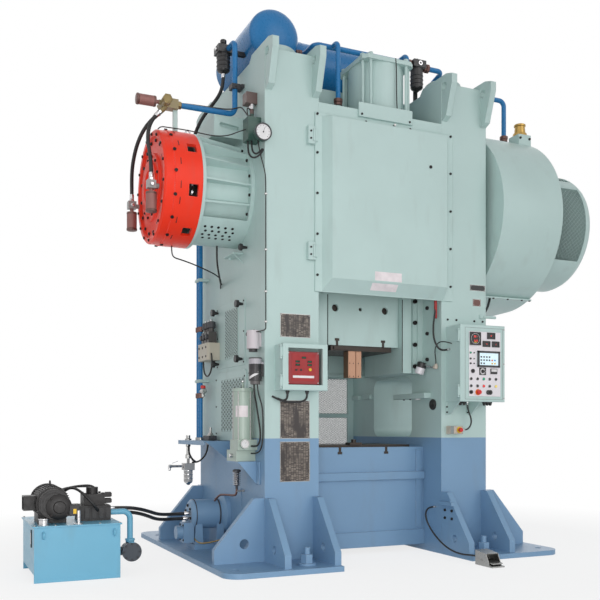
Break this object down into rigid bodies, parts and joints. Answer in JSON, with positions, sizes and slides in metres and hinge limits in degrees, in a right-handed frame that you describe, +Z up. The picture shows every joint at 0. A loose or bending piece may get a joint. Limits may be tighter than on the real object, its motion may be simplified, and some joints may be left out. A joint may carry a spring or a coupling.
{
  "type": "hot forging press",
  "caption": "Mechanical hot forging press with tie-rod frame, eccentric shaft, sliding ram, flywheel, air brake drum, guards, air tank, control panel, foot pedal and hydraulic power unit",
  "frame": {"origin": "On the floor, at the centre of the pattern of the four outer anchor holes in the base plates, midway between the columns", "axes": "+X to the right seen from the front, along the eccentric shaft, +Y from the front to the back, +Z up"},
  "size_m": [5.705, 3.36, 5.116],
  "materials": {
    "body_green": "satin",
    "lower_blue": "satin",
    "tank_blue": "gloss",
    "unit_cyan": "satin",
    "brake_red": "satin",
    "machine_steel": "machined",
    "dark_steel": "oiled",
    "cast_grey": "cast",
    "bronze": "dull",
    "brass": "satin",
    "silencer_rose": "matt",
    "black_plastic": "matt",
    "black_rubber": "matt",
    "panel_grey": "satin",
    "monitor_red": "satin",
    "stop_red": "gloss",
    "station_cream": "satin",
    "alloy": "cast",
    "manifold_beige": "satin"
  },
  "bodies": {
    "frame": {"air_filters": "black_plastic", "air_pipes": "tank_blue", "air_tank": "tank_blue", "anchor_bolts": "lower_blue", "balance_cylinder": "body_green", "bed": "lower_blue", "bolster": "machine_steel", "brake_casing": "brake_red", "brake_hose_a": "black_rubber", "brake_hose_b": "black_rubber", "brake_housing": "body_green", "brake_valves": "brass", "clutch_guard": "body_green", "cover_knobs": "black_plastic", "crown": "body_green", "crown_front": "body_green", "estop_cable": "black_rubber", "flywheel_guard": "body_green", "grease_unit": "body_green", "hpu_filter": "black_plastic", "hpu_hose_a": "black_rubber", "hpu_hose_b": "black_rubber", "hpu_pump": "black_plastic", "hpu_tank": "unit_cyan", "knockout_drive": "lower_blue", "left_base": "lower_blue", "left_column": "body_green", "lube_hose": "black_rubber", "lubricator": "alloy", "main_bearings": "bronze", "main_motor": "cast_grey", "monitor_box": "body_green", "monitor_unit": "monitor_red", "panel_box": "panel_grey", "pedal_base": "machine_steel", "pedal_cable": "black_rubber", "pressure_gauge": "panel_grey", "right_base": "lower_blue", "right_column": "body_green", "shelf_brackets": "lower_blue", "side_panels": "body_green", "silencers": "silencer_rose", "slide_gibs": "body_green", "stop_station": "station_cream", "tank_hose": "black_rubber", "tie_rods": "body_green", "valve_manifold": "manifold_beige"},
    "shaft": {"eccentric_shaft": "machine_steel"},
    "slide": {"slide": "body_green", "die_holder": "dark_steel", "tool_block": "bronze", "balance_rod": "machine_steel"},
    "flywheel": {"flywheel": "cast_grey"},
    "motor_pulley": {"motor_pulley": "cast_grey"},
    "front_door": {"front_door": "body_green"},
    "panel_door": {"panel_door": "panel_grey"},
    "panel_estop": {"panel_estop": "stop_red"},
    "station_button": {"station_button": "stop_red"},
    "monitor_door": {"monitor_door": "body_green"},
    "pedal": {"pedal": "machine_steel"}
  },
  "joints": [
    {"name": "shaft_turn", "type": "hinge", "parent": "frame", "child": "shaft", "pos_m": [0, -0.222, 3.345], "axis": [1, 0, 0], "range_deg": [0, 180]},
    {"name": "slide_stroke", "type": "slide", "parent": "frame", "child": "slide", "axis": [0, 0, 1], "range_m": [-0.18, 0]},
    {"name": "flywheel_spin", "type": "hinge", "parent": "frame", "child": "flywheel", "pos_m": [1.58, -0.222, 3.345], "axis": [1, 0, 0], "continuous": true},
    {"name": "pulley_spin", "type": "hinge", "parent": "frame", "child": "motor_pulley", "pos_m": [1.5, 1.19, 2.72], "axis": [1, 0, 0], "continuous": true},
    {"name": "front_door_swing", "type": "hinge", "parent": "frame", "child": "front_door", "pos_m": [-0.702, -0.938, 3.2], "axis": [0, 0, 1], "range_deg": [-110, 0]},
    {"name": "panel_door_swing", "type": "hinge", "parent": "frame", "child": "panel_door", "pos_m": [0.68, -1.141, 1.8], "axis": [0, 0, 1], "range_deg": [-110, 0]},
    {"name": "monitor_door_swing", "type": "hinge", "parent": "frame", "child": "monitor_door", "pos_m": [-1.085, -1.094, 1.713], "axis": [0, 0, 1], "range_deg": [-110, 0]},
    {"name": "panel_estop_push", "type": "slide", "parent": "panel_door", "child": "panel_estop", "axis": [0, 1, 0], "range_m": [0, 0.006], "stiffness_N_per_m": 600},
    {"name": "station_button_push", "type": "slide", "parent": "frame", "child": "station_button", "axis": [0, 1, 0], "range_m": [0, 0.006], "stiffness_N_per_m": 600},
    {"name": "pedal_press", "type": "hinge", "parent": "frame", "child": "pedal", "pos_m": [0.64, -1.63, 0.05], "axis": [1, 0, 0], "range_deg": [0, 6], "stiffness_Nm_per_rad": 20, "springref_deg": -5.73}
  ],
  "couplings": [
    {"joint": "slide_stroke", "follows": "shaft_turn", "m_per_rad": -0.057296},
    {"joint": "pulley_spin", "follows": "flywheel_spin", "ratio": 4.9697}
  ]
}
